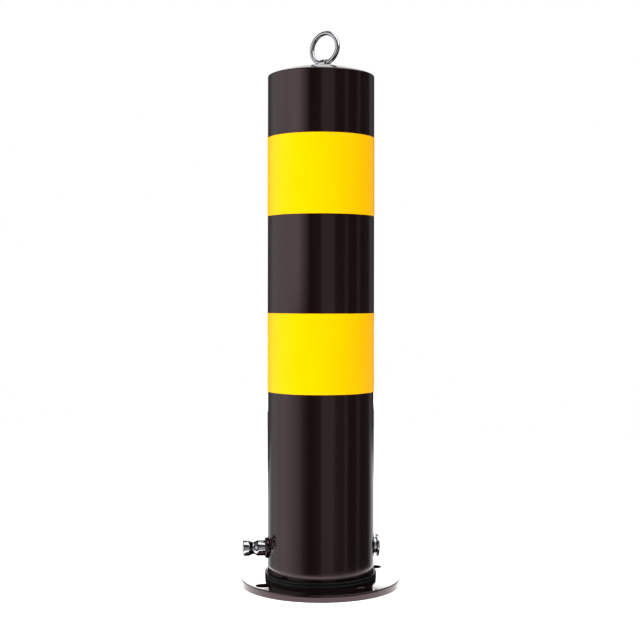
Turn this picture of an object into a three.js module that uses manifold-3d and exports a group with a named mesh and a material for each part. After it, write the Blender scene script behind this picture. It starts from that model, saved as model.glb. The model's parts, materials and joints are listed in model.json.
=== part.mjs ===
// Removable steel safety bollard: a bolted base with a spigot, a lift-off post with reflective
// bands, a sliding lock bar with a keyed barrel, and a lifting ring on the domed cap.
// Millimetres, +Z up. Origin: centre of the flange's underside. +X: along the lock bar,
// from the keyed barrel towards the stop disc.
import * as THREE from 'three';
import { mergeVertices } from 'three/addons/utils/BufferGeometryUtils.js';
import Module from 'manifold-3d';

const wasm = await Module();
wasm.setup();

// ---- driving dimensions ----
const FINE = 72;            // segments round the post
const MEDIUM = 32;          // segments round bars, bushes and rings
const COARSE = 18;          // segments round small screws and holes
const GAP = 0.3;            // running gap between curved faces

const flange = { radius: 85, thickness: 7.5, edge: 0.9, holes: 4, holeRadius: 8, pitchRadius: 73.5,
  firstAngle: 29 };
const post = { radius: 57, wall: 3, bottom: 13.5, top: 539.3 };
const spigot = { radius: 51.5, wall: 3, top: 105, seatRadius: 8.9, channel: 13.6, mouth: 22,
  mouthDepth: 9 };
const cap = { shoulder: 2.3, chamfer: 0.8, apex: 553.3, sphere: 153, wall: 3, flatRadius: 14.2,
  flatHeight: 552.4, holeRadius: 4.6, arcSteps: 5 };
const band = { height: 83.5, thickness: 0.25, gap: 0.2, lowerBottom: 206, upperBottom: 392.5 };
const seat = { inner: 51.8, outer: 59.5, chamfer: 0.8 };

const bar = { z: 39.5, radius: 8.4, neckRadius: 6.2, left: -60, right: 60, neckLeft: [-53, -44.5],
  neckRight: [44.5, 55], shoulder: 1 };
const bush = { outer: 11, inner: 8.8, left: [-60, -54], right: [53.3, 57], flare: 0.6 };
const oRing = { x: -57, radius: 9.2, wire: 0.65, groove: 10.05, grooveWidth: 1.8 };
const barrel = { left: -83.5, radius: 8.45, waistRadius: 6.6, waistX: -72.4, waistHalf: 5.4,
  waistSteps: 8, chamfer: 0.6, noseRadius: 6, noseEnd: -54.5 };
const key = { y: 2, recess: 0.2, headRadius: 4.2, headEnd: -76.5, endPlay: 0.2, tailRadius: 2.2,
  wayWidth: 1, wayHeight: 5, wayDepth: 6, square: 3 };
const wafer = { count: 4, first: -82, pitch: 1.4, thickness: 0.6, width: 3.4, height: 7.6,
  slotThickness: 0.9, slotWidth: 3.8, windowWidth: 1.4, windowHeight: 4.6 };
const cam = { left: -63.5, right: -61.5, reach: 7.9, width: 4.4, hub: 3.2, chamberRadius: 8.2 };
const camScrew = { headRadius: 2.6, head: 1.2, shankRadius: 1.1, end: -65.5 };
const pin = { x: -57.2, y: -3.5, radius: 1.2, half: 6.8 };
const disc = { radius: 12, thickness: 2.5, holeRadius: 2.8 };
const discScrew = { headRadius: 4.75, head: 1.9, shankRadius: 2.4, end: 50, domeSteps: 6 };

const ring = { wire: 2.5, radius: 16.5, hingeZ: 556.95, azimuth: 48, lean: 5, offsetX: 3 };
const ringBase = { radius: 13.6, thickness: 1.6, edge: 0.4, studRadius: 3.9, studEnd: 535 };
const saddle = { clearance: 0.75, thickness: 1.2, width: 7, foot: 7.4 };
const ringNut = { acrossFlats: 13, height: 6.5, hole: 4.2 };
const ringWasher = { outer: 8, thickness: 1.6, top: 549.7 };   // just under the cap's hollow side
const ringSpring = { outer: 7, thickness: 2, split: 1.4 };

// ---- finishes ----
const finish = (color, roughness, metalness) =>
  new THREE.MeshStandardMaterial({ color, roughness, metalness });
const blackPaint = finish('#2a2122', 0.28, 0.1);
const yellowFilm = finish('#fff000', 0.3, 0);
const chrome = finish('#d8dadd', 0.08, 1);
const zincSteel = finish('#a9abad', 0.35, 1);
const brass = finish('#b08d4a', 0.3, 1);
const rubber = finish('#101010', 0.7, 0);

// ---- solids ----
const radians = (degrees) => degrees * Math.PI / 180;

function asSolid(geometry) {
  const bare = geometry.clone();
  bare.deleteAttribute('normal');
  bare.deleteAttribute('uv');
  const merged = mergeVertices(bare, 1e-4);
  return new wasm.Manifold(new wasm.Mesh({
    numProp: 3,
    vertProperties: new Float32Array(merged.attributes.position.array),
    triVerts: new Uint32Array(merged.index.array),
  }));
}

function asGeometry(solid) {
  const mesh = solid.getMesh();
  const geometry = new THREE.BufferGeometry();
  geometry.setAttribute('position', new THREE.BufferAttribute(mesh.vertProperties, 3));
  geometry.setIndex(new THREE.BufferAttribute(mesh.triVerts, 1));
  geometry.computeVertexNormals();
  return geometry;
}

const cut = (body, ...tools) =>
  asGeometry(tools.reduce((solid, tool) => solid.subtract(asSolid(tool)), asSolid(body)));
const join = (...bodies) =>
  asGeometry(bodies.map(asSolid).reduce((solid, body) => solid.add(body)));
const common = (a, b) => asGeometry(asSolid(a).intersect(asSolid(b)));

// A profile of [radius, height] points, anticlockwise, turned about +Z.
const turned = (profile, segments) =>
  new THREE.LatheGeometry(profile.map(([r, h]) => new THREE.Vector2(r, h)), segments)
    .rotateX(Math.PI / 2);

// The same turned about the X direction, on the lock bar's axis or beside it.
const turnedAlongX = (profile, segments, y = 0) =>
  turned(profile, segments).rotateY(Math.PI / 2).translate(0, y, bar.z);

const tubeProfile = (inner, outer, low, high) =>
  [[inner, low], [outer, low], [outer, high], [inner, high], [inner, low]];
const rodProfile = (radius, low, high) => [[0, low], [radius, low], [radius, high], [0, high]];

// Points [radius, height] along a sphere about a centre on the axis.
const domeArc = (radius, centreZ, from, to, steps) =>
  Array.from({ length: steps + 1 }, (_, i) => {
    const r = from + (to - from) * i / steps;
    return [r, centreZ + Math.sqrt(radius ** 2 - r ** 2)];
  });

const block = (x, y, z, cx, cy, cz) => new THREE.BoxGeometry(x, y, z).translate(cx, cy, cz);

const bollard = new THREE.Group();

function place(name, geometry, material, group = bollard) {
  const mesh = new THREE.Mesh(geometry, material);
  mesh.name = name;
  group.add(mesh);
}

// ---- base: flange, spigot and seat ring ----
function makeFlange() {
  const { radius, thickness, edge } = flange;
  const plate = turned([[0, 0], [radius - edge, 0], [radius, edge], [radius, thickness - edge],
    [radius - edge, thickness], [0, thickness]], FINE);
  const holes = Array.from({ length: flange.holes }, (_, i) => {
    const angle = radians(flange.firstAngle + i * 360 / flange.holes);
    return turned(rodProfile(flange.holeRadius, -1, thickness + 1), COARSE)
      .translate(flange.pitchRadius * Math.cos(angle), flange.pitchRadius * Math.sin(angle), 0);
  });
  return cut(plate, ...holes);
}

// Each side has a round seat for the bar, open upwards through a channel that only its neck fits.
function makeSpigot() {
  const { radius, wall, top, seatRadius, channel, mouth, mouthDepth } = spigot;
  const tube = turned(tubeProfile(radius - wall, radius, flange.thickness, top), FINE);
  const seats = turnedAlongX(rodProfile(seatRadius, -2 * radius, 2 * radius), MEDIUM);
  const channels = block(4 * radius, channel, top, 0, 0, bar.z + top / 2);
  const flare = new THREE.Shape([
    new THREE.Vector2(-channel / 2, top - mouthDepth), new THREE.Vector2(channel / 2, top - mouthDepth),
    new THREE.Vector2(mouth / 2, top + 1), new THREE.Vector2(-mouth / 2, top + 1)]);
  const mouths = new THREE.ExtrudeGeometry(flare, { depth: 4 * radius, bevelEnabled: false })
    .rotateX(Math.PI / 2).rotateZ(Math.PI / 2).translate(-2 * radius, 0, 0);
  return cut(tube, seats, channels, mouths);
}

place('base_flange', makeFlange(), blackPaint);
place('spigot_tube', makeSpigot(), blackPaint);
place('seat_ring', turned([[seat.inner, flange.thickness], [seat.outer, flange.thickness],
  [seat.outer, post.bottom - seat.chamfer], [seat.outer - seat.chamfer, post.bottom],
  [seat.inner, post.bottom], [seat.inner, flange.thickness]], FINE), rubber);

// ---- post: tube, cap and reflective bands ----
const postInner = post.radius - post.wall;
const postTube = turned(tubeProfile(postInner, post.radius, post.bottom, post.top), FINE);
const bushHoles = turnedAlongX(rodProfile(bush.outer + GAP, -2 * post.radius, 2 * post.radius), MEDIUM);
place('post_tube', cut(postTube, bushHoles), blackPaint);

function makeCap() {
  const centreZ = cap.apex - cap.sphere;
  const shoulder = post.top + cap.shoulder;
  const outside = domeArc(cap.sphere, centreZ, post.radius - cap.chamfer, 0, cap.arcSteps);
  const inside = domeArc(cap.sphere - cap.wall, centreZ, 0, postInner, cap.arcSteps);
  const dish = turned([...inside, [postInner, post.top], [post.radius, post.top],
    [post.radius, shoulder], ...outside], FINE);
  const flat = turned(rodProfile(cap.flatRadius, cap.flatHeight, cap.apex + 1), MEDIUM);
  const hole = turned(rodProfile(cap.holeRadius, cap.flatHeight - 10, cap.apex + 1), COARSE);
  return cut(dish, flat.translate(ring.offsetX, 0, 0), hole.translate(ring.offsetX, 0, 0));
}
place('domed_cap', makeCap(), blackPaint);

for (const [name, low] of [['lower_band', band.lowerBottom], ['upper_band', band.upperBottom]]) {
  const inner = post.radius + band.gap;
  place(name, turned(tubeProfile(inner, inner + band.thickness, low, low + band.height), FINE),
    yellowFilm);
}

// ---- guide bushes for the lock bar ----
const [leftOut, leftIn] = bush.left;
const leftBush = turnedAlongX([[bush.inner, leftOut], [bush.outer - bush.flare, leftOut],
  [bush.outer, leftOut + bush.flare], [bush.outer, leftIn], [bush.inner, leftIn],
  [bush.inner, leftOut]], MEDIUM);
const oRingGroove = turnedAlongX(tubeProfile(bush.inner - 1, oRing.groove,
  oRing.x - oRing.grooveWidth / 2, oRing.x + oRing.grooveWidth / 2), MEDIUM);
place('left_bush', cut(leftBush, oRingGroove), blackPaint);
place('right_bush', turnedAlongX(tubeProfile(bush.inner, bush.outer, ...bush.right), MEDIUM),
  blackPaint);
place('bush_o_ring', new THREE.TorusGeometry(oRing.radius, oRing.wire, 8, MEDIUM)
  .rotateY(Math.PI / 2).translate(oRing.x, 0, bar.z), rubber);

// ---- lock bar: full where it locks, necked where the post lifts off ----
function makeLockBar() {
  const { radius, neckRadius, left, right, neckLeft, neckRight, shoulder } = bar;
  const rod = turnedAlongX([[0, left], [radius, left], [radius, neckLeft[0] - shoulder],
    [neckRadius, neckLeft[0]], [neckRadius, neckLeft[1]], [radius, neckLeft[1] + shoulder],
    [radius, neckRight[0] - shoulder], [neckRadius, neckRight[0]], [neckRadius, neckRight[1]],
    [radius, neckRight[1] + shoulder], [radius, right], [0, right]], MEDIUM);
  const socket = turnedAlongX(rodProfile(barrel.noseRadius + GAP, left - 1, barrel.noseEnd + GAP), MEDIUM);
  const screwHole = turnedAlongX(rodProfile(discScrew.shankRadius + GAP, discScrew.end - 1, right + 1),
    COARSE);
  return cut(rod, socket, screwHole, pinAt(GAP));
}

function pinAt(extra) {
  return turned(rodProfile(pin.radius + extra, -pin.half - 2 * extra, pin.half + 2 * extra), COARSE)
    .translate(pin.x, pin.y, bar.z);
}

// The barrel's waist is a cosine hollow; its nose plugs into the bar.
function makeBarrel() {
  const { left, radius, waistRadius, waistX, waistHalf, chamfer, noseRadius, noseEnd } = barrel;
  const waist = Array.from({ length: barrel.waistSteps + 1 }, (_, i) => {
    const t = -1 + 2 * i / barrel.waistSteps;
    return [radius - (radius - waistRadius) * (1 + Math.cos(Math.PI * t)) / 2, waistX + t * waistHalf];
  });
  const body = turnedAlongX([[0, left], [radius - chamfer, left], [radius, left + chamfer], ...waist,
    [radius, bar.left], [noseRadius, bar.left], [noseRadius, noseEnd], [0, noseEnd]], MEDIUM);
  const bore = (r, from, to, segments) => turnedAlongX(rodProfile(r, from, to), segments, key.y);
  const headBore = bore(key.headRadius + GAP, left - 1, key.headEnd + key.endPlay, COARSE);
  const tailBore = bore(key.tailRadius + GAP, left, cam.right, COARSE);
  const chamber = bore(cam.chamberRadius, cam.left - GAP, cam.right + GAP, MEDIUM);
  const screwBore = bore(camScrew.headRadius + GAP, cam.right, noseEnd + 1, COARSE);
  return cut(body, headBore, tailBore, chamber, screwBore, pinAt(GAP));
}

place('lock_bar', makeLockBar(), zincSteel);
place('lock_barrel', makeBarrel(), chrome);
place('barrel_pin', pinAt(0), zincSteel);
place('stop_disc', turnedAlongX(tubeProfile(disc.holeRadius, disc.radius, bar.right,
  bar.right + disc.thickness), MEDIUM), chrome);

function makeDiscScrew() {
  const { headRadius, head, shankRadius, end, domeSteps } = discScrew;
  const face = bar.right + disc.thickness;
  const dome = Array.from({ length: domeSteps }, (_, i) => {
    const angle = radians(90 * i / domeSteps);
    return [headRadius * Math.cos(angle), face + head * Math.sin(angle)];
  });
  return turnedAlongX([[0, end], [shankRadius, end], [shankRadius, face], ...dome,
    [0, face + head]], COARSE);
}
place('disc_screw', makeDiscScrew(), chrome);

// ---- key plug, wafers and locking cam ----
const waferX = (i) => wafer.first + i * wafer.pitch;
function makePlug() {
  const { y, headRadius, headEnd, tailRadius, wayWidth, wayHeight, wayDepth, square } = key;
  const face = barrel.left + key.recess;
  const turnedPlug = turnedAlongX([[0, face], [headRadius, face], [headRadius, headEnd],
    [tailRadius, headEnd], [tailRadius, cam.left], [0, cam.left]], COARSE, y);
  const squareEnd = block(cam.right - cam.left + 1, square, square, (cam.right + cam.left - 1) / 2, y,
    bar.z);
  const way = block(2 * wayDepth, wayWidth, wayHeight, face, y, bar.z);
  const waferSlots = Array.from({ length: wafer.count }, (_, i) =>
    block(wafer.slotThickness, wafer.slotWidth, 2 * headRadius + 1, waferX(i), y, bar.z));
  const screwHole = turnedAlongX(rodProfile(camScrew.shankRadius + GAP, camScrew.end - 0.5, cam.right + 1),
    COARSE, y);
  return cut(join(turnedPlug, squareEnd), way, ...waferSlots, screwHole);
}

function makeCam() {
  const hub = turnedAlongX(rodProfile(cam.hub, cam.left, cam.right), COARSE, key.y);
  const middleX = (cam.left + cam.right) / 2;
  const arm = block(cam.right - cam.left, cam.reach + 1, cam.width, middleX,
    key.y - (cam.reach + 1) / 2, bar.z);
  const reach = turnedAlongX(rodProfile(cam.reach, cam.left, cam.right), MEDIUM, key.y);
  const hole = key.square + GAP;
  const squareHole = block(cam.right - cam.left + 1, hole, hole, middleX, key.y, bar.z);
  return cut(common(join(hub, arm), reach), squareHole);
}

place('key_plug', makePlug(), brass);
for (let i = 0; i < wafer.count; i += 1) {
  const plate = block(wafer.thickness, wafer.width, wafer.height, waferX(i), key.y, bar.z);
  const opening = block(2, wafer.windowWidth, wafer.windowHeight, waferX(i), key.y, bar.z);
  place(`wafer_${i + 1}`, cut(plate, opening), brass);
}
place('lock_cam', makeCam(), zincSteel);
place('cam_screw', turnedAlongX([[0, camScrew.end], [camScrew.shankRadius, camScrew.end],
  [camScrew.shankRadius, cam.right], [camScrew.headRadius, cam.right],
  [camScrew.headRadius, cam.right + camScrew.head], [0, cam.right + camScrew.head]], COARSE, key.y),
zincSteel);

// ---- lifting ring and its fixing, turned on the cap ----
const ringFixing = new THREE.Group();
ringFixing.position.set(ring.offsetX, 0, 0);
ringFixing.rotation.z = radians(ring.azimuth);   // the ring's face looks along this group's +X
bollard.add(ringFixing);

const baseTop = cap.flatHeight + ringBase.thickness;
place('ring_base', turned([[0, ringBase.studEnd], [ringBase.studRadius, ringBase.studEnd],
  [ringBase.studRadius, cap.flatHeight], [ringBase.radius, cap.flatHeight],
  [ringBase.radius, baseTop - ringBase.edge], [ringBase.radius - ringBase.edge, baseTop],
  [0, baseTop]], MEDIUM),
chrome, ringFixing);

// A strap bent over the ring's wire, with a flat foot on each side.
function makeSaddle() {
  const inner = ring.wire + saddle.clearance;
  const outer = inner + saddle.thickness;
  const strap = new THREE.Shape();
  strap.moveTo(-saddle.foot, baseTop);
  strap.lineTo(-inner, baseTop);
  strap.lineTo(-inner, ring.hingeZ);
  strap.absarc(0, ring.hingeZ, inner, Math.PI, 0, true);
  strap.lineTo(inner, baseTop);
  strap.lineTo(saddle.foot, baseTop);
  strap.lineTo(saddle.foot, baseTop + saddle.thickness);
  strap.lineTo(outer, baseTop + saddle.thickness);
  strap.lineTo(outer, ring.hingeZ);
  strap.absarc(0, ring.hingeZ, outer, 0, Math.PI, false);
  strap.lineTo(-outer, baseTop + saddle.thickness);
  strap.lineTo(-saddle.foot, baseTop + saddle.thickness);
  strap.closePath();
  return new THREE.ExtrudeGeometry(strap, { depth: saddle.width, bevelEnabled: false, curveSegments: 6 })
    .rotateX(Math.PI / 2).translate(0, saddle.width / 2, 0);
}
place('ring_saddle', makeSaddle(), chrome, ringFixing);

const washerBottom = ringWasher.top - ringWasher.thickness;
place('ring_washer', turned(tubeProfile(ringNut.hole, ringWasher.outer, washerBottom, ringWasher.top),
  COARSE), zincSteel, ringFixing);
const springBottom = washerBottom - ringSpring.thickness;
const springWasher = turned(tubeProfile(ringNut.hole, ringSpring.outer, springBottom, washerBottom),
  COARSE);
const split = block(2 * ringSpring.outer, ringSpring.split, 4 * ringSpring.thickness, ringSpring.outer, 0,
  springBottom);
place('ring_spring_washer', cut(springWasher, split), zincSteel, ringFixing);

const nutBlank = turned(rodProfile(ringNut.acrossFlats / Math.sqrt(3), springBottom - ringNut.height,
  springBottom), 6);
const nutHole = turned(rodProfile(ringNut.hole, springBottom - ringNut.height - 1, springBottom + 1),
  COARSE);
place('ring_nut', cut(nutBlank, nutHole), zincSteel, ringFixing);

const swing = new THREE.Group();
swing.position.set(0, 0, ring.hingeZ);
swing.rotation.y = radians(ring.lean);
ringFixing.add(swing);
place('lifting_ring', new THREE.TorusGeometry(ring.radius, ring.wire, 12, 48)
  .rotateY(Math.PI / 2).translate(0, 0, ring.radius), chrome, swing);

export default bollard;
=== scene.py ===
# Removable steel safety bollard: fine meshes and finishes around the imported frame.
import json
from math import cos, exp, pi, radians, sin, sqrt

import bmesh
import bpy
from mathutils import Matrix, Vector


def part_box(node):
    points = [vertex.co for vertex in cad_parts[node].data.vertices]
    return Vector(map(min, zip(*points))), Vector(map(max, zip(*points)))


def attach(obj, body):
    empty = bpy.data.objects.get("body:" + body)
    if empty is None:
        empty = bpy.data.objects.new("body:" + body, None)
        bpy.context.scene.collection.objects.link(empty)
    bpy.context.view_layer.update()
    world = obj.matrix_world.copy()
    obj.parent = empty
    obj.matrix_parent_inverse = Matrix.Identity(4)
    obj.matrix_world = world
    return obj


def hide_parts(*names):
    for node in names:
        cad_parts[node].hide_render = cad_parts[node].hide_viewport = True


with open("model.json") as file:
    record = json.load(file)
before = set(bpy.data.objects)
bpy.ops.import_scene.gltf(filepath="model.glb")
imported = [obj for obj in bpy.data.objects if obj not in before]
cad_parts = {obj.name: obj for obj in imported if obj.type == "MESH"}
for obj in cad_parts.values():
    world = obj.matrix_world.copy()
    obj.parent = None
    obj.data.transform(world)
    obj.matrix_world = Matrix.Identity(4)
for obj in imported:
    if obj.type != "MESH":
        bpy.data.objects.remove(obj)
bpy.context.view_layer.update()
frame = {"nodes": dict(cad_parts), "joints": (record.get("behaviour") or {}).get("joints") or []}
mm = 0.001
print("frame loaded", len(frame["nodes"]), "nodes")


# ---------- colour and node helpers ----------
def toLinear(hexColour):
    channels = [int(hexColour[i:i + 2], 16) / 255 for i in (1, 3, 5)]
    return [c / 12.92 if c <= 0.04045 else ((c + 0.055) / 1.055) ** 2.4 for c in channels] + [1.0]


# Adds one node: settings are its properties or its sockets' values, links are {socket: source}.
def addNode(tree, kind, settings=None, links=None):
    node = tree.nodes.new(kind)
    for key, value in (settings or {}).items():
        if isinstance(key, str) and hasattr(node, key):
            setattr(node, key, value)
        else:
            node.inputs[key].default_value = value
    for socket, source in (links or {}).items():
        tree.links.new(source, node.inputs[socket])
    return node


def newFinish(name, shaderSettings):
    material = bpy.data.materials.new(name)
    material.use_nodes = True
    tree = material.node_tree
    tree.nodes.clear()
    shader = addNode(tree, "ShaderNodeBsdfPrincipled", shaderSettings)
    addNode(tree, "ShaderNodeOutputMaterial", links={"Surface": shader.outputs["BSDF"]})
    place = addNode(tree, "ShaderNodeTexCoord").outputs["Object"]
    return material, tree, shader, place


# A pattern's scale from the real size of one of its features.
def perSize(sizeMm):
    return 1 / (sizeMm * mm)


def setColours(ramp, stops):
    elements = ramp.color_ramp.elements
    while len(elements) > 1:
        elements.remove(elements[-1])
    for i, (position, colour) in enumerate(stops):
        element = elements[0] if i == 0 else elements.new(position)
        element.position = position
        element.color = colour


# Turns a value's span, lowest and highest, into a span of roughness.
def addSpan(tree, value, span, result):
    return addNode(tree, "ShaderNodeMapRange", {"From Min": span[0], "From Max": span[1],
                   "To Min": result[0], "To Max": result[1]}, {"Value": value}).outputs["Result"]


def addRelief(tree, shader, height, strength, heightMm):
    bump = addNode(tree, "ShaderNodeBump", {"Strength": strength, "Distance": heightMm * mm},
                   {"Height": height})
    tree.links.new(bump.outputs["Normal"], shader.inputs["Normal"])


# ---------- finishes ----------
# Stoved gloss enamel, sprayed: deep black-brown with a faint orange peel, so reflections waver a little.
# The mottle, the specks and the peel are given in millimetres across.
enamel = {"colour": "#0e0505", "dust": "#1a0e0e", "tint": "#ffdfe1", "ior": 1.5, "roughness": (0.085, 0.14),
          "mottle": 70, "mottleSpan": (0.35, 0.65), "speck": 1.1, "speckSpan": (0.62, 0.82),
          "peel": 2.4, "peelHeight": 0.004, "peelStrength": 0.35}


def makeEnamel():
    material, tree, shader, place = newFinish(
        "glossEnamel", {"IOR": enamel["ior"], "Base Color": toLinear(enamel["colour"]),
                        "Specular Tint": toLinear(enamel["tint"])})
    mottle = addNode(tree, "ShaderNodeTexNoise", {"Scale": perSize(enamel["mottle"]), "Detail": 3.0},
                     {"Vector": place})
    tree.links.new(addSpan(tree, mottle.outputs["Fac"], enamel["mottleSpan"], enamel["roughness"]),
                   shader.inputs["Roughness"])
    speck = addNode(tree, "ShaderNodeTexNoise", {"Scale": perSize(enamel["speck"]), "Detail": 2.0},
                    {"Vector": place})
    dust = addNode(tree, "ShaderNodeValToRGB", links={"Fac": speck.outputs["Fac"]})
    clean, dusty = enamel["speckSpan"]
    setColours(dust, [(clean, toLinear(enamel["colour"])), (dusty, toLinear(enamel["dust"]))])
    tree.links.new(dust.outputs["Color"], shader.inputs["Base Color"])
    peel = addNode(tree, "ShaderNodeTexNoise", {"Scale": perSize(enamel["peel"]), "Detail": 1.5},
                   {"Vector": place})
    addRelief(tree, shader, peel.outputs["Fac"], enamel["peelStrength"], enamel["peelHeight"])
    return material


# Fluorescent yellow reflective film: smooth top sheet over fine glass beads, so it stays even and bright.
# The beads are under 0.1 mm, and are drawn 0.9 mm so that they show.
film = {"colour": "#ffbc00", "shade": "#ffb600", "tint": "#ffc800", "ior": 1.42, "specular": 0.35,
        "roughness": (0.24, 0.34), "cloud": 45, "bead": 0.9, "beadSpan": (0.0, 0.6), "beadHeight": 0.01,
        "beadStrength": 0.12}


def makeFilm():
    material, tree, shader, place = newFinish(
        "reflectiveFilm", {"IOR": film["ior"], "Base Color": toLinear(film["colour"]),
                           "Specular Tint": toLinear(film["tint"]), "Specular IOR Level": film["specular"]})
    cloud = addNode(tree, "ShaderNodeTexNoise", {"Scale": perSize(film["cloud"]), "Detail": 2.0},
                    {"Vector": place})
    bead = addNode(tree, "ShaderNodeTexVoronoi", {"Scale": perSize(film["bead"])}, {"Vector": place})
    tint = addNode(tree, "ShaderNodeMix", {"data_type": "RGBA", 6: toLinear(film["colour"]),
                   7: toLinear(film["shade"])}, {0: cloud.outputs["Fac"]})
    tree.links.new(tint.outputs[2], shader.inputs["Base Color"])
    tree.links.new(addSpan(tree, bead.outputs["Distance"], film["beadSpan"], film["roughness"]),
                   shader.inputs["Roughness"])
    addRelief(tree, shader, bead.outputs["Distance"], film["beadStrength"], film["beadHeight"])
    return material


# A plated or bare metal: lathe or polishing marks along X, and cloudy wear in the gloss.
# A wave texture turns 20 radians to the metre, so a mark comes out 2 pi times its real width, which is
# coarse enough to show.
metal = {"cloudSpan": (0.3, 0.7), "markWaver": 1.5, "markStrength": 0.15, "waveTurn": 20}
# Bright nickel-chrome plate over buffed steel: a mirror, slightly hazed.
chrome = {"colour": "#a6a7aa", "roughness": (0.09, 0.15), "mark": 0.5, "markDepth": 0.002, "cloud": 9}
# Clear zinc plate on turned steel: bluish grey, soft reflections.
zinc = {"colour": "#b4b8bb", "roughness": (0.24, 0.38), "mark": 0.35, "markDepth": 0.006, "cloud": 4}
# Free-cutting brass, turned and left bare.
brass = {"colour": "#c9a04e", "roughness": (0.18, 0.3), "mark": 0.3, "markDepth": 0.005, "cloud": 5}


def makeMetal(name, look):
    material, tree, shader, place = newFinish(name, {"Metallic": 1.0,
                                                     "Base Color": toLinear(look["colour"])})
    haze = addNode(tree, "ShaderNodeTexNoise", {"Scale": perSize(look["cloud"]), "Detail": 3.0},
                   {"Vector": place})
    tree.links.new(addSpan(tree, haze.outputs["Fac"], metal["cloudSpan"], look["roughness"]),
                   shader.inputs["Roughness"])
    marks = addNode(tree, "ShaderNodeTexWave", {"Scale": perSize(look["mark"]) / metal["waveTurn"],
                    "Distortion": metal["markWaver"], "Detail": 2.0}, {"Vector": place})
    addRelief(tree, shader, marks.outputs["Fac"], metal["markStrength"], look["markDepth"])
    return material


# Moulded EPDM rubber: dull black with a fine grain that kills reflections.
rubber = {"colour": "#080808", "bloom": "#111110", "ior": 1.52, "specular": 0.25, "roughness": 0.5,
          "patch": 12, "patchSpan": (0.4, 0.75), "grain": 0.6, "grainHeight": 0.03, "grainStrength": 0.4}


def makeRubber():
    material, tree, shader, place = newFinish(
        "mouldedRubber", {"IOR": rubber["ior"], "Base Color": toLinear(rubber["colour"]),
                          "Roughness": rubber["roughness"], "Specular IOR Level": rubber["specular"]})
    patch = addNode(tree, "ShaderNodeTexNoise", {"Scale": perSize(rubber["patch"]), "Detail": 4.0},
                    {"Vector": place})
    bloom = addNode(tree, "ShaderNodeValToRGB", links={"Fac": patch.outputs["Fac"]})
    clean, bloomed = rubber["patchSpan"]
    setColours(bloom, [(clean, toLinear(rubber["colour"])), (bloomed, toLinear(rubber["bloom"]))])
    tree.links.new(bloom.outputs["Color"], shader.inputs["Base Color"])
    grain = addNode(tree, "ShaderNodeTexNoise", {"Scale": perSize(rubber["grain"]), "Detail": 2.0},
                    {"Vector": place})
    addRelief(tree, shader, grain.outputs["Fac"], rubber["grainStrength"], rubber["grainHeight"])
    return material


glossEnamel = makeEnamel()
reflectiveFilm = makeFilm()
mouldedRubber = makeRubber()
chromePlate = makeMetal("chromePlate", chrome)
zincPlate = makeMetal("zincPlate", zinc)
turnedBrass = makeMetal("turnedBrass", brass)
print("finishes made")


# ---------- mesh helpers ----------
# Corners are (radius, height, rounding); a rounding of 0 stays sharp.
def roundedOutline(corners, closed=False, steps=5):
    points = []
    for i, (r, h, rounding) in enumerate(corners):
        here = Vector((r, h))
        isEnd = not closed and i in (0, len(corners) - 1)
        if isEnd or rounding <= 0:
            points.append(here)
            continue
        start = here + (Vector(corners[i - 1][:2]) - here).normalized() * rounding
        end = here + (Vector(corners[(i + 1) % len(corners)][:2]) - here).normalized() * rounding
        for s in range(steps + 1):
            t = s / steps
            points.append(start * (1 - t) ** 2 + here * 2 * t * (1 - t) + end * t ** 2)
    return points


# Points nearer the axis than this, in metres, become one.
onAxis = 1e-7


def turnedMesh(outline, closed=False, axis="Z", centre=(0, 0, 0), steps=160):
    bm = bmesh.new()
    centre = Vector(centre)
    rows = []
    for r, h in outline:
        turns = 1 if r < onAxis else steps
        angles = [2 * pi * k / turns for k in range(turns)]
        if axis == "Z":
            rows.append([bm.verts.new(centre + Vector((r * cos(a), r * sin(a), h))) for a in angles])
        else:
            rows.append([bm.verts.new(centre + Vector((h, r * cos(a), r * sin(a)))) for a in angles])
    pairs = list(zip(rows, rows[1:])) + ([(rows[-1], rows[0])] if closed else [])
    for low, high in pairs:
        for k in range(steps):
            corners = [low[k % len(low)], low[(k + 1) % len(low)],
                       high[(k + 1) % len(high)], high[k % len(high)]]
            if len(low) == 1 and len(high) == 1:
                continue
            bm.faces.new(list(dict.fromkeys(corners)))
    bmesh.ops.recalc_face_normals(bm, faces=bm.faces)
    return bm


def toObject(bm, name):
    mesh = bpy.data.meshes.new(name)
    bm.to_mesh(mesh)
    bm.free()
    piece = bpy.data.objects.new(name, mesh)
    bpy.context.scene.collection.objects.link(piece)
    return piece


def applyModifiers(piece):
    bpy.context.view_layer.update()
    evaluated = piece.evaluated_get(bpy.context.evaluated_depsgraph_get())
    mesh = bpy.data.meshes.new_from_object(evaluated)
    piece.modifiers.clear()
    piece.data = mesh


def combine(piece, operation, others):
    for other in others:
        boolean = piece.modifiers.new("boolean", "BOOLEAN")
        boolean.operation = operation
        boolean.solver = "EXACT"
        boolean.object = other
    applyModifiers(piece)
    for other in others:
        bpy.data.objects.remove(other)


def cutAway(piece, *cutters):
    combine(piece, "DIFFERENCE", cutters)


def addBevel(piece, widthMm, segments, angle):
    bevel = piece.modifiers.new("edge", "BEVEL")
    bevel.width = widthMm * mm
    bevel.segments = segments
    bevel.limit_method = "ANGLE"
    bevel.angle_limit = radians(angle)


def smooth(piece, angle=32):
    piece.data.shade_smooth()
    piece.data.set_sharp_from_angle(angle=radians(angle))


def finishPiece(piece, body, finish, node):
    smooth(piece)
    piece.data.materials.clear()
    piece.data.materials.append(finish)
    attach(piece, body)
    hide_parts(node)


# A carried-over CAD node gets a finish and slightly broken edges.
def keepNode(node, finish, edge=0.12):
    piece = frame["nodes"][node]
    piece.data.materials.clear()
    piece.data.materials.append(finish)
    addBevel(piece, edge, segments=2, angle=40)


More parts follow.
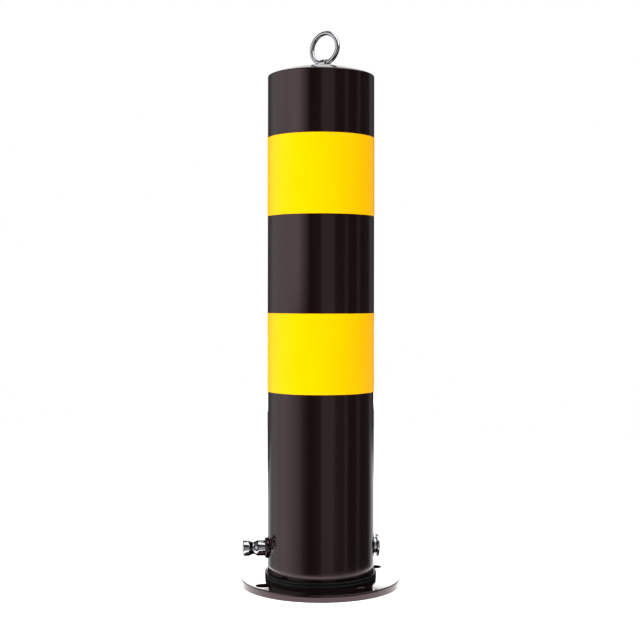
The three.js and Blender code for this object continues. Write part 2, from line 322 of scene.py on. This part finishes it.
# ---------- base ----------
flange = {"edge": 0.9, "holeRadius": 8, "holes": 4, "pitchRadius": 73.5, "firstAngle": 29,
          "holeChamfer": 0.5}
past = 1.2              # a cutter that runs through reaches this many radii from the axis
clear = 2 * mm          # and a slot's cutter stands this far above its piece


def makeFlange():
    low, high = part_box("base_flange")
    edge = flange["edge"] * mm
    outline = roundedOutline([(0, low.z, 0), (high.x, low.z, edge), (high.x, high.z, edge),
                              (0, high.z, 0)])
    plate = toObject(turnedMesh(outline, steps=256), "floorFlange")
    r = flange["holeRadius"] * mm
    c = flange["holeChamfer"] * mm
    holeOutline = [(0, low.z - c), (r, low.z - c), (r, high.z - c), (r + 3 * c, high.z + 2 * c),
                   (0, high.z + 2 * c)]
    cutters = []
    for k in range(flange["holes"]):
        angle = radians(flange["firstAngle"] + 360 * k / flange["holes"])
        centre = Vector((cos(angle), sin(angle), 0)) * flange["pitchRadius"] * mm
        cutters.append(toObject(turnedMesh(holeOutline, centre=centre, steps=64), "holeCutter"))
    cutAway(plate, *cutters)
    finishPiece(plate, "base", glossEnamel, "base_flange")


# A flat outline of (across, up) points, extruded by depth about its middle.
def extrudedMesh(points, depth, across, up, centre=(0, 0, 0)):
    across, up = Vector(across), Vector(up)
    along = across.cross(up).normalized() * depth
    start = Vector(centre) - along / 2
    bm = bmesh.new()
    ends = [[bm.verts.new(start + across * a + up * b + along * k) for a, b in points] for k in (0, 1)]
    bm.faces.new(ends[0])
    bm.faces.new(ends[1])
    for i in range(len(points)):
        j = (i + 1) % len(points)
        bm.faces.new([ends[0][i], ends[0][j], ends[1][j], ends[1][i]])
    bmesh.ops.recalc_face_normals(bm, faces=bm.faces)
    return bm


def rod(radius, start, end):
    return [(0, start), (radius, start), (radius, end), (0, end)]


barLow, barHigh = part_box("lock_bar")
barZ = (barLow.z + barHigh.z) / 2
postLow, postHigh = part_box("post_tube")


# Pieces and holes along the lock bar are turned round its axis.
def turnedOnBar(outline, name, steps, closed=False):
    return toObject(turnedMesh(outline, closed=closed, axis="X", centre=(0, 0, barZ), steps=steps), name)


spigot = {"wall": 3, "seatRadius": 8.9, "channel": 13.6, "mouth": 22, "mouthDepth": 9, "edge": 0.4}


# The bar's seats are round; the channels above them open into a flared mouth.
def makeSpigot():
    low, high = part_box("spigot_tube")
    outer, wall, edge = high.x, spigot["wall"] * mm, spigot["edge"] * mm
    outline = roundedOutline([(outer - wall, low.z, 0), (outer, low.z, 0), (outer, high.z, edge),
                              (outer - wall, high.z, edge)], closed=True)
    sleeve = toObject(turnedMesh(outline, closed=True, steps=192), "spigotSleeve")
    reach = past * outer
    channel, mouth = spigot["channel"] / 2 * mm, spigot["mouth"] / 2 * mm
    slotTop = high.z + clear
    mouthStart = high.z - spigot["mouthDepth"] * mm
    slot = [(-channel, barZ), (channel, barZ), (channel, mouthStart), (mouth, slotTop),
            (-mouth, slotTop), (-channel, mouthStart)]
    cutAway(sleeve, turnedOnBar(rod(spigot["seatRadius"] * mm, -reach, reach), "seatCutter", 64),
            toObject(extrudedMesh(slot, 2 * reach, (0, 1, 0), (0, 0, 1)), "slotCutter"))
    finishPiece(sleeve, "base", glossEnamel, "spigot_tube")


seatRing = {"inner": 51.8, "edge": 0.8, "groove": 1.8, "grooveDepth": 0.6}


# The rubber ring has a shallow groove round its outer side.
def makeSeatRing():
    low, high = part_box("seat_ring")
    inner, outer, edge = seatRing["inner"] * mm, high.x, seatRing["edge"] * mm
    middle, half, depth = (low.z + high.z) / 2, seatRing["groove"] / 2 * mm, seatRing["grooveDepth"] * mm
    outline = roundedOutline([
        (inner, low.z, 0), (outer, low.z, edge / 2), (outer, middle - half, depth / 2),
        (outer - depth, middle, depth / 2), (outer, middle + half, depth / 2), (outer, high.z, edge),
        (inner, high.z, 0)], closed=True, steps=4)
    ring = toObject(turnedMesh(outline, closed=True, steps=192), "rubberSeatRing")
    finishPiece(ring, "base", mouldedRubber, "seat_ring")


makeFlange()
makeSpigot()
makeSeatRing()
print("base made")


# ---------- post ----------
tube = {"wall": 3, "edge": 0.7, "bushHole": 11.3}


def makeTube():
    outer, wall, edge = postHigh.x, tube["wall"] * mm, tube["edge"] * mm
    outline = roundedOutline([(outer - wall, postLow.z, edge / 2), (outer, postLow.z, edge),
                              (outer, postHigh.z, 0), (outer - wall, postHigh.z, 0)], closed=True)
    shell = toObject(turnedMesh(outline, closed=True, steps=256), "postTube")
    hole = rod(tube["bushHole"] * mm, -past * outer, past * outer)
    cutAway(shell, turnedOnBar(hole, "holeCutter", 96))
    finishPiece(shell, "post", glossEnamel, "post_tube")


ringJoint = next(joint for joint in frame["joints"] if joint["name"] == "ring_swing")
hinge = Vector(ringJoint["pos_m"])
hingeAxis = Vector(ringJoint["axis"]).normalized()
ringBase = {"thickness": 1.6, "edge": 0.45, "stud": 3.9, "studEdge": 0.7}
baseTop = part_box("ring_base")[1].z
capFlat = baseTop - ringBase["thickness"] * mm
cap = {"sphere": 153, "wall": 3, "flatDepth": 0.9, "flatRadius": 14.2, "holeRadius": 4.6, "edge": 0.9,
       "steps": 28, "cutAbove": 5, "cutBelow": 9}


def domeArc(radius, centreZ, start, end):
    radii = [start + (end - start) * k / cap["steps"] for k in range(cap["steps"] + 1)]
    return [Vector((r, centreZ + sqrt(radius ** 2 - r ** 2))) for r in radii]


def makeCap():
    outer, wall, sphere, edge = postHigh.x, cap["wall"] * mm, cap["sphere"] * mm, cap["edge"] * mm
    centreZ = capFlat + cap["flatDepth"] * mm - sphere
    outside = domeArc(sphere, centreZ, outer - edge, 0)
    inside = domeArc(sphere - wall, centreZ, 0, outer - wall)
    rim = centreZ + sqrt(sphere ** 2 - outer ** 2)
    shoulder = roundedOutline([(outer, postHigh.z, 0), (outer, rim, edge), (*outside[0], 0)])
    outline = inside + [Vector((outer - wall, postHigh.z))] + shoulder[:-1] + outside
    dome = toObject(turnedMesh(outline, steps=256), "domedCap")
    top = capFlat + cap["cutAbove"] * mm
    seatProfile = [(0, capFlat), (cap["flatRadius"] * mm, capFlat),
                   (cap["flatRadius"] * mm + top - capFlat, top), (0, top)]
    studHole = rod(cap["holeRadius"] * mm, capFlat - cap["cutBelow"] * mm, top)
    centre = (hinge.x, hinge.y, 0)
    cutAway(dome, toObject(turnedMesh(seatProfile, centre=centre, steps=96), "seatCutter"),
            toObject(turnedMesh(studHole, centre=centre, steps=64), "holeCutter"))
    finishPiece(dome, "post", glossEnamel, "domed_cap")


# Film wrapped once round the tube, its end lapped over its start at the back. It rises onto the lap over
# the given part of the lap, by a little more than its thickness.
band = {"lift": 0.06, "thickness": 0.18, "edge": 0.08, "lap": 12, "lapAngle": 90, "lapRise": 0.25,
        "lapHeight": 1.15, "steps": 288}


def makeBand(node, name):
    low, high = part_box(node)
    inner = postHigh.x + band["lift"] * mm
    bm = bmesh.new()
    thickness, edge = band["thickness"] * mm, band["edge"] * mm
    lapTurn = band["lap"] * mm / inner
    riseTurn = lapTurn * band["lapRise"]
    rows = []
    for k in range(band["steps"] + 1):
        turn = (2 * pi + lapTurn) * k / band["steps"]
        raised = max(0.0, min(1.0, (turn - 2 * pi + riseTurn) / riseTurn))
        r = inner + raised * thickness * band["lapHeight"]
        angle = radians(band["lapAngle"]) + turn
        section = [(r, low.z), (r + thickness - edge, low.z), (r + thickness, low.z + edge),
                   (r + thickness, high.z - edge), (r + thickness - edge, high.z), (r, high.z)]
        rows.append([bm.verts.new((q * cos(angle), q * sin(angle), z)) for q, z in section])
    for a, b in zip(rows, rows[1:]):
        for i in range(len(a)):
            j = (i + 1) % len(a)
            bm.faces.new([a[i], b[i], b[j], a[j]])
    bm.faces.new(rows[0])
    bm.faces.new(rows[-1])
    bmesh.ops.recalc_face_normals(bm, faces=bm.faces)
    finishPiece(toObject(bm, name), "post", reflectiveFilm, node)


makeTube()
makeCap()
makeBand("lower_band", "lowerBand")
makeBand("upper_band", "upperBand")
print("post made")


# ---------- bushes and O-ring ----------
bush = {"inner": 8.8, "edge": 0.6, "groove": 10.05, "grooveWidth": 1.8, "lip": 0.9, "neckGap": 0.2}
oRing = {"section": 20}


def makeLeftBush():
    low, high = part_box("left_bush")
    inner, outer, edge = bush["inner"] * mm, high.z - barZ, bush["edge"] * mm
    ringLow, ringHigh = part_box("bush_o_ring")
    middle, half = (ringLow.x + ringHigh.x) / 2, bush["grooveWidth"] / 2 * mm
    groove, lip = bush["groove"] * mm, bush["lip"] * mm
    neck = postLow.x - bush["neckGap"] * mm
    outline = roundedOutline([
        (inner, low.x, edge), (outer - lip, low.x, edge), (outer, (low.x + neck) / 2, edge),
        (outer, high.x, edge / 2), (inner, high.x, edge / 2), (inner, middle + half, 0),
        (groove, middle + half, 0), (groove, middle - half, 0), (inner, middle - half, 0)], closed=True)
    piece = turnedOnBar(outline, "leftBush", 96, closed=True)
    finishPiece(piece, "post", glossEnamel, "left_bush")


def makeRightBush():
    low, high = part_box("right_bush")
    inner, outer, edge = bush["inner"] * mm, high.z - barZ, bush["edge"] / 2 * mm
    outline = roundedOutline([(inner, low.x, edge), (outer, low.x, edge), (outer, high.x, edge),
                              (inner, high.x, edge)][::-1], closed=True)
    piece = turnedOnBar(outline, "rightBush", 96, closed=True)
    finishPiece(piece, "post", glossEnamel, "right_bush")


def makeORing():
    low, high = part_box("bush_o_ring")
    wire = (high.x - low.x) / 2
    middle, radius = (low.x + high.x) / 2, high.z - barZ - wire
    turns = [2 * pi * k / oRing["section"] for k in range(oRing["section"])]
    outline = [(radius + wire * cos(turn), middle + wire * sin(turn)) for turn in turns]
    piece = turnedOnBar(outline, "bushORing", 96, closed=True)
    finishPiece(piece, "post", mouldedRubber, "bush_o_ring")


makeLeftBush()
makeRightBush()
makeORing()
print("bushes made")


# ---------- lock bar ----------
lockBar = {"neck": 6.2, "neckLeft": (-53, -44.5), "neckRight": (44.5, 55), "shoulder": 1.0, "edge": 0.5,
           "socket": 6.3, "socketEnd": -54.2, "screwHole": 2.7, "screwEnd": 49, "pinHole": 1.5}


def makeLockBar():
    outer, neck, edge = barHigh.z - barZ, lockBar["neck"] * mm, lockBar["edge"] * mm
    corners = [(0, barLow.x, 0), (outer, barLow.x, edge)]
    for start, end in (lockBar["neckLeft"], lockBar["neckRight"]):
        corners += [(outer, (start - lockBar["shoulder"]) * mm, edge), (neck, start * mm, edge),
                    (neck, end * mm, edge), (outer, (end + lockBar["shoulder"]) * mm, edge)]
    corners += [(outer, barHigh.x, edge), (0, barHigh.x, 0)]
    bar = turnedOnBar(roundedOutline(corners), "lockBar", 96)
    socket = rod(lockBar["socket"] * mm, barLow.x - mm, lockBar["socketEnd"] * mm)
    screwHole = rod(lockBar["screwHole"] * mm, lockBar["screwEnd"] * mm, barHigh.x + mm)
    pinLow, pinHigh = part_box("barrel_pin")
    pinCentre = (pinLow + pinHigh) / 2
    pin = rod(lockBar["pinHole"] * mm, barZ - outer, barZ + outer)
    cutAway(bar, turnedOnBar(socket, "socketCutter", 64), turnedOnBar(screwHole, "screwCutter", 48),
            toObject(turnedMesh(pin, centre=(pinCentre.x, pinCentre.y, 0), steps=32), "pinCutter"))
    finishPiece(bar, "bar", zincPlate, "lock_bar")


barrel = {"waist": 6.6, "waistX": -72.4, "waistHalf": 5.4, "waistSteps": 24, "edge": 0.7, "nose": 6.0,
          "headBore": 4.5, "headEnd": -76.3, "tailBore": 2.5, "chamber": 8.2, "chamberEnds": (-63.8, -61.2),
          "screwBore": 2.9, "boreEdge": 0.35}
plugLow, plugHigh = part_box("key_plug")
keyCentre = (0, (plugLow.y + plugHigh.y) / 2, barZ)


# The keyed barrel: a hollow waist for the fingers, the plug's bore and the cam's chamber off centre.
def makeBarrel():
    low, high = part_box("lock_barrel")
    outer, edge = high.z - barZ, barrel["edge"] * mm
    steps, depth = barrel["waistSteps"], outer - barrel["waist"] * mm
    waist = []
    for k in range(steps + 1):
        t = 2 * k / steps - 1
        waist.append(Vector((outer - depth * (1 + cos(pi * t)) / 2,
                             (barrel["waistX"] + t * barrel["waistHalf"]) * mm)))
    nose = barrel["nose"] * mm
    mouthEnd = roundedOutline([(0, low.x, 0), (outer, low.x, edge), (*waist[0], 0)])
    noseEnd = roundedOutline([(*waist[-1], 0), (outer, barLow.x, edge / 2), (nose, barLow.x, 0),
                              (nose, high.x, edge / 2), (0, high.x, 0)])
    body = turnedOnBar(mouthEnd[:-1] + waist + noseEnd[1:], "lockBarrel", 128)
    chamberStart, chamberEnd = (x * mm for x in barrel["chamberEnds"])
    mouthRadius, lip = barrel["headBore"] * mm, barrel["boreEdge"] * mm
    headBore = [(0, low.x - lip), (mouthRadius + 2 * lip, low.x - lip), (mouthRadius, low.x + lip),
                (mouthRadius, barrel["headEnd"] * mm), (0, barrel["headEnd"] * mm)]
    bores = [headBore, rod(barrel["tailBore"] * mm, low.x, chamberEnd),
             rod(barrel["chamber"] * mm, chamberStart, chamberEnd),
             rod(barrel["screwBore"] * mm, chamberStart, high.x + mm)]
    cutAway(body, *[toObject(turnedMesh(bore, axis="X", centre=keyCentre, steps=72), "boreCutter")
                    for bore in bores])
    finishPiece(body, "bar", chromePlate, "lock_barrel")


disc = {"edge": 0.5, "hole": 2.8}


def makeStopDisc():
    low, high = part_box("stop_disc")
    outer, edge, hole = high.z - barZ, disc["edge"] * mm, disc["hole"] * mm
    outline = roundedOutline([(hole, low.x, 0), (outer, low.x, edge), (outer, high.x, edge),
                              (hole, high.x, edge / 2)], closed=True)
    piece = turnedOnBar(outline, "stopDisc", 128, closed=True)
    finishPiece(piece, "bar", chromePlate, "stop_disc")


screw = {"shank": 2.4, "shankEdge": 0.4, "rim": 0.35, "socket": 3.0, "socketDepth": 1.3, "domeSteps": 16}


# Button-head screw with a hexagon socket.
def makeDiscScrew():
    low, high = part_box("disc_screw")
    headRadius, face = high.z - barZ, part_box("stop_disc")[1].x
    rise, rim = high.x - face, screw["rim"] * mm
    shank = screw["shank"] * mm
    outline = roundedOutline([(0, low.x, 0), (shank, low.x, screw["shankEdge"] * mm), (shank, face, 0),
                              (headRadius, face, rim / 2), (headRadius, face + rim, 0)])
    for k in range(1, screw["domeSteps"] + 1):
        turn = pi / 2 * k / screw["domeSteps"]
        outline.append(Vector((headRadius * cos(turn), face + rim + (rise - rim) * sin(turn))))
    outline[-1].x = 0
    head = turnedOnBar(outline, "discScrew", 96)
    corner = screw["socket"] / sqrt(3) * mm
    hexagon = [(corner * cos(pi / 3 * k), corner * sin(pi / 3 * k)) for k in range(6)]
    depth = 2 * screw["socketDepth"] * mm
    socket = extrudedMesh(hexagon, depth, (0, 1, 0), (0, 0, 1), (high.x, 0, barZ))
    cutAway(head, toObject(socket, "socketCutter"))
    finishPiece(head, "bar", chromePlate, "disc_screw")


makeLockBar()
makeBarrel()
makeStopDisc()
makeDiscScrew()
keepNode("barrel_pin", zincPlate)
print("lock bar made")


# ---------- key plug and cam ----------
plug = {"edge": 0.3, "headEnd": -76.5, "tail": 2.2, "square": 3.0, "wayWidth": 1.0, "wayHeight": 5.0,
        "wayDepth": 6, "screwHole": 1.4, "screwEnd": -66, "waferSlot": (0.9, 3.8)}


def slab(size, centre):
    x, y, z = (part / 2 for part in size)
    return extrudedMesh([(-y, -z), (y, -z), (y, z), (-y, z)], 2 * x, (0, 1, 0), (0, 0, 1), centre)


def makePlug():
    camLow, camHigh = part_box("lock_cam")
    outer, edge, tail = plugHigh.z - barZ, plug["edge"] * mm, plug["tail"] * mm
    headEnd = plug["headEnd"] * mm
    outline = roundedOutline([(0, plugLow.x, 0), (outer, plugLow.x, edge), (outer, headEnd, edge),
                              (tail, headEnd, 0), (tail, camLow.x, edge / 2), (0, camLow.x, 0)])
    body = toObject(turnedMesh(outline, axis="X", centre=keyCentre, steps=72), "keyPlug")
    flat = plug["square"] * mm
    length = camHigh.x - camLow.x + mm
    square = toObject(slab((length, flat, flat), (camHigh.x - length / 2, keyCentre[1], barZ)),
                      "squareEnd")
    combine(body, "UNION", [square])
    way = slab((2 * plug["wayDepth"] * mm, plug["wayWidth"] * mm, plug["wayHeight"] * mm),
               (plugLow.x, keyCentre[1], barZ))
    hole = turnedMesh(rod(plug["screwHole"] * mm, plug["screwEnd"] * mm, camHigh.x + mm), axis="X",
                      centre=keyCentre, steps=32)
    cutters = [toObject(way, "wayCutter"), toObject(hole, "holeCutter")]
    for node in sorted(frame["nodes"]):
        if node.startswith("wafer_"):
            low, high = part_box(node)
            size = (*(side * mm for side in plug["waferSlot"]), 3 * outer)      # right through the plug
            cutters.append(toObject(slab(size, (low + high) / 2), "waferCutter"))
            keepNode(node, turnedBrass, edge=0.05)
    cutAway(body, *cutters)
    finishPiece(body, "key", turnedBrass, "key_plug")


makePlug()
keepNode("lock_cam", zincPlate, edge=0.2)
keepNode("cam_screw", zincPlate, edge=0.1)
print("key plug made")


# ---------- ring fixing ----------
def makeRingBase():
    low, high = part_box("ring_base")
    outer = (high.x - low.x) / 2
    edge, stud = ringBase["edge"] * mm, ringBase["stud"] * mm
    outline = roundedOutline([(0, low.z, 0), (stud, low.z, ringBase["studEdge"] * mm), (stud, capFlat, 0),
                              (outer, capFlat, edge), (outer, high.z, edge), (0, high.z, 0)])
    bm = turnedMesh(outline, centre=(hinge.x, hinge.y, 0), steps=160)
    finishPiece(toObject(bm, "ringBasePlate"), "post", chromePlate, "ring_base")


ring = {"wire": 2.5, "lean": 5, "weldAngle": 205, "bead": 0.10, "beadWidth": 1.3, "turns": 192,
        "section": 32}
saddle = {"clearance": 0.75, "thickness": 1.2, "width": 7, "foot": 7.4, "edge": 0.35, "arcSteps": 24}


# A strap bent over the ring's wire and spot-welded by its two feet.
def makeSaddle():
    inner = (ring["wire"] + saddle["clearance"]) * mm
    thick, foot = saddle["thickness"] * mm, saddle["foot"] * mm
    outer = inner + thick
    base = baseTop - hinge.z
    arcAngles = [pi * k / saddle["arcSteps"] for k in range(saddle["arcSteps"] + 1)]
    outline = [(-foot, base), (-inner, base)]
    outline += [(-inner * cos(a), inner * sin(a)) for a in arcAngles]
    outline += [(inner, base), (foot, base), (foot, base + thick), (outer, base + thick)]
    outline += [(outer * cos(a), outer * sin(a)) for a in arcAngles]
    outline += [(-outer, base + thick), (-foot, base + thick)]
    facing = hingeAxis.cross(Vector((0, 0, 1)))
    strap = toObject(extrudedMesh(outline, saddle["width"] * mm, facing, (0, 0, 1), hinge), "ringSaddle")
    addBevel(strap, saddle["edge"], segments=3, angle=50)
    applyModifiers(strap)
    finishPiece(strap, "post", chromePlate, "ring_saddle")


# Round bar bent to a ring, with the slight bead of its butt weld.
def makeRing():
    low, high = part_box("lifting_ring")
    centre = (low + high) / 2
    tilt = Matrix.Rotation(radians(ring["lean"]), 3, hingeAxis)
    facing = (tilt @ hingeAxis.cross(Vector((0, 0, 1)))).normalized()
    up = hingeAxis.cross(facing)
    if up.z < 0:
        up = -up
    radius = (centre - hinge).length
    bm = bmesh.new()
    rows = []
    for k in range(ring["turns"]):
        turn = 2 * pi * k / ring["turns"]
        outward = hingeAxis * sin(turn) + up * cos(turn)
        arc = (turn - radians(ring["weldAngle"])) * radius / (ring["beadWidth"] * mm)
        wire = ring["wire"] * mm * (1 + ring["bead"] * exp(-arc * arc))
        rows.append([bm.verts.new(centre + outward * (radius + wire * cos(2 * pi * s / ring["section"]))
                                  + facing * wire * sin(2 * pi * s / ring["section"]))
                     for s in range(ring["section"])])
    for i, row in enumerate(rows):
        after = rows[(i + 1) % len(rows)]
        for s in range(len(row)):
            t = (s + 1) % len(row)
            bm.faces.new([row[s], row[t], after[t], after[s]])
    bmesh.ops.recalc_face_normals(bm, faces=bm.faces)
    finishPiece(toObject(bm, "liftingRing"), "ring", chromePlate, "lifting_ring")


makeRingBase()
makeSaddle()
makeRing()
for fastener in ("ring_washer", "ring_spring_washer", "ring_nut"):
    keepNode(fastener, zincPlate, edge=0.2)
print("ring made")


# ---------- floor, light and camera ----------
# Lengths here are in metres and angles in degrees; the camera looks level, from the height of eye.
studio = {"azimuth": -7.6, "distance": 1.2853, "eye": 0.3075, "lens": 67.42, "sensor": 36,
          "shiftX": -0.0014, "shiftY": -0.0373, "roll": 0.07}
white = (1, 1, 1, 1)
floor = {"colour": "#f4f4f4", "roughness": 0.9, "glow": 0.8, "radius": 1.5, "drop": 0.0002, "steps": 96}
glowRing = {"inner": 0.0855, "outer": 0.113, "drop": 0.0001, "level": 3.1}


# White paper, lit from under as well, so that only a faint contact shadow is left.
def makeFloor():
    paper = newFinish("whitePaper", {
        "Base Color": toLinear(floor["colour"]), "Roughness": floor["roughness"],
        "Emission Color": white, "Emission Strength": floor["glow"]})[0]
    bm = bmesh.new()
    bmesh.ops.create_circle(bm, cap_ends=True, segments=floor["steps"], radius=floor["radius"])
    sheet = toObject(bm, "floor")
    sheet.location.z = -floor["drop"]
    sheet.data.materials.append(paper)
    sheet.visible_glossy = False


# The bright floor close round the flange, seen only as a reflection in its rim.
def makeFloorGlow():
    light = bpy.data.materials.new("floorGlow")
    light.use_nodes = True
    tree = light.node_tree
    tree.nodes.clear()
    glow = addNode(tree, "ShaderNodeEmission", {"Strength": glowRing["level"]})
    addNode(tree, "ShaderNodeOutputMaterial", links={"Surface": glow.outputs["Emission"]})
    height = -glowRing["drop"]
    bm = turnedMesh([(glowRing["inner"], height), (glowRing["outer"], height)], steps=floor["steps"])
    glowing = toObject(bm, "floorGlow")
    glowing.data.materials.append(light)
    glowing.visible_camera = False
    glowing.visible_diffuse = False
    glowing.visible_shadow = False


# Places are (right, away, up) as the camera stands, turned into the frame's axes.
def fromCamera(right, away, up):
    a = radians(studio["azimuth"])
    return Vector((right * cos(a) - away * sin(a), right * sin(a) + away * cos(a), up))


# Panels of even radiance. Places are as the camera stands, and each faces the post at the aim's height.
panels = {"topSoftbox": {"place": (0.6, -0.2, 1.5), "aim": 0, "size": (1.7, 1.8), "radiance": 2.6,
                         "inGloss": True},
          "frontFill": {"place": (-1.0, -1.5, 1.0), "aim": 0.3, "size": (1.0, 1.0), "radiance": 9,
                        "inGloss": False},
          # a card behind, which shows in the flange's upper face
          "backCard": {"place": (0, 0.8, 0.188), "aim": 0.1, "size": (0.56, 0.165), "radiance": 3.9,
                       "inGloss": True}}


def makeLights():
    for name, panel in panels.items():
        data = bpy.data.lights.new(name, "AREA")
        data.shape = "RECTANGLE"
        data.size, data.size_y = panel["size"]
        data.energy = panel["radiance"] * pi * data.size * data.size_y
        light = bpy.data.objects.new(name, data)
        place, target = fromCamera(*panel["place"]), Vector((0, 0, panel["aim"]))
        light.location = place
        light.rotation_euler = (target - place).to_track_quat("-Z", "Y").to_euler()
        light.visible_camera = False
        light.visible_glossy = panel["inGloss"]
        bpy.context.scene.collection.objects.link(light)


# Radiance round the horizon, as (degrees from the camera's side, to the right; level).
surround = [(-180, 0.1), (-150, 0.12), (-135, 0.4), (-121, 0.95), (-90, 1.7), (-60, 2.25), (-50, 2.3),
            (-36, 1.1), (-23, 0.04), (-2, 0.15), (4, 0.6), (26, 0.6), (33, 0.12), (50, 0.12), (56, 0.45),
            (62, 0.12), (80, 0.1), (88, 0.4), (96, 0.1), (124, 0.1), (133, 0.35), (150, 0.12), (180, 0.1)]
# Below the horizon the bright side is narrower, and the right side a little brighter.
lowSurround = [(-180, 0.1), (-150, 0.12), (-135, 0.4), (-121, 0.95), (-100, 1.35), (-82, 1.85),
               (-66, 1.55), (-51, 1.15), (-37, 0.36), (-23, 0.06), (-2, 0.2), (4, 0.66), (26, 0.72),
               (33, 0.32), (50, 0.2), (56, 0.6), (62, 0.15), (80, 0.1), (88, 0.38), (96, 0.1), (124, 0.1),
               (133, 0.35), (150, 0.12), (180, 0.1)]
brightest = 3.0         # a ramp holds 0 to 1, so the levels are stored as parts of this
# From here on, start and full are sines of a direction's angle above or below the horizon.
lowBlend = {"start": 0.02, "full": 0.09}
# High up and low down, the surround fades to a part of itself.
fade = {"start": 0.3, "full": 0.44, "rest": 0.12}
# The bright floor behind the post; side and middle are cosines from straight away.
floorBehind = {"start": 0.13, "full": 0.17, "side": 0.62, "middle": 0.9, "level": 1.3}
# A soft patch of light behind and above, start and full being cosines from its middle.
skyGlow = {"elevation": 32, "start": 0.92, "full": 0.98, "level": 1.5}


def addStep(tree, value, start, end, low, high):
    return addNode(tree, "ShaderNodeMapRange", {"interpolation_type": "SMOOTHSTEP", "From Min": start,
                   "From Max": end, "To Min": low, "To Max": high}, {"Value": value}).outputs["Result"]


def addDot(tree, direction, axis):
    return addNode(tree, "ShaderNodeVectorMath", {"operation": "DOT_PRODUCT", 1: tuple(axis)},
                   {0: direction}).outputs["Value"]


def addSurround(tree, angle, levels):
    ramp = addNode(tree, "ShaderNodeValToRGB", links={"Fac": angle})
    setColours(ramp, [(0.5 + turn / 360, (level / brightest,) * 3 + (1,)) for turn, level in levels])
    return ramp.outputs["Color"]


def makeWorld():
    world = bpy.data.worlds.new("studio")
    bpy.context.scene.world = world
    world.use_nodes = True
    tree = world.node_tree
    tree.nodes.clear()
    direction = addNode(tree, "ShaderNodeTexCoord").outputs["Generated"]
    turned = addNode(tree, "ShaderNodeVectorRotate", {"rotation_type": "Z_AXIS",
                     "Angle": radians(90 - studio["azimuth"])}, {"Vector": direction})
    angle = addNode(tree, "ShaderNodeTexGradient", {"gradient_type": "RADIAL"},
                    {"Vector": turned.outputs["Vector"]}).outputs["Fac"]
    up = addNode(tree, "ShaderNodeSeparateXYZ", links={"Vector": direction}).outputs["Z"]
    down = addNode(tree, "ShaderNodeMath", {"operation": "MULTIPLY", 1: -1.0}, {0: up}).outputs["Value"]
    lowShare = addStep(tree, down, lowBlend["start"], lowBlend["full"], 0.0, 1.0)
    bands = addNode(tree, "ShaderNodeMix", links={0: lowShare, 2: addSurround(tree, angle, surround),
                    3: addSurround(tree, angle, lowSurround)})
    rise = addNode(tree, "ShaderNodeMath", {"operation": "ABSOLUTE"}, {0: up}).outputs["Value"]
    share = addStep(tree, rise, fade["start"], fade["full"], brightest, brightest * fade["rest"])
    height = radians(skyGlow["elevation"])
    glow = addStep(tree, addDot(tree, direction, fromCamera(0, cos(height), sin(height))),
                   skyGlow["start"], skyGlow["full"], 0.0, skyGlow["level"])
    below = addStep(tree, down, floorBehind["start"], floorBehind["full"], 0.0, 1.0)
    behind = addStep(tree, addDot(tree, direction, fromCamera(0, 1, 0)), floorBehind["side"],
                     floorBehind["middle"], 0.0, floorBehind["level"])
    extra = addNode(tree, "ShaderNodeMath", {"operation": "MULTIPLY_ADD"},
                    {0: below, 1: behind, 2: glow})
    level = addNode(tree, "ShaderNodeMath", {"operation": "MULTIPLY_ADD"},
                    {0: bands.outputs[0], 1: share, 2: extra.outputs["Value"]})
    lit = addNode(tree, "ShaderNodeBackground", links={"Strength": level.outputs["Value"]})
    seen = addNode(tree, "ShaderNodeBackground", {"Strength": 1.0, "Color": white})
    path = addNode(tree, "ShaderNodeLightPath")
    mix = addNode(tree, "ShaderNodeMixShader", links={0: path.outputs["Is Camera Ray"],
                  1: lit.outputs["Background"], 2: seen.outputs["Background"]})
    addNode(tree, "ShaderNodeOutputWorld", links={"Surface": mix.outputs["Shader"]})


def makeCamera():
    data = bpy.data.cameras.new("camera")
    data.lens = studio["lens"]
    data.sensor_width = studio["sensor"]
    data.shift_x = studio["shiftX"]
    data.shift_y = studio["shiftY"]
    camera = bpy.data.objects.new("camera", data)
    turn = (Matrix.Rotation(radians(studio["azimuth"]), 4, "Z") @ Matrix.Rotation(radians(90), 4, "X")
            @ Matrix.Rotation(radians(studio["roll"]), 4, "Z"))
    camera.matrix_world = Matrix.Translation(fromCamera(0, -studio["distance"], studio["eye"])) @ turn
    bpy.context.scene.collection.objects.link(camera)
    bpy.context.scene.camera = camera


makeFloor()
makeFloorGlow()
makeLights()
makeWorld()
makeCamera()
bpy.context.scene.view_settings.view_transform = "Standard"
print("studio made")
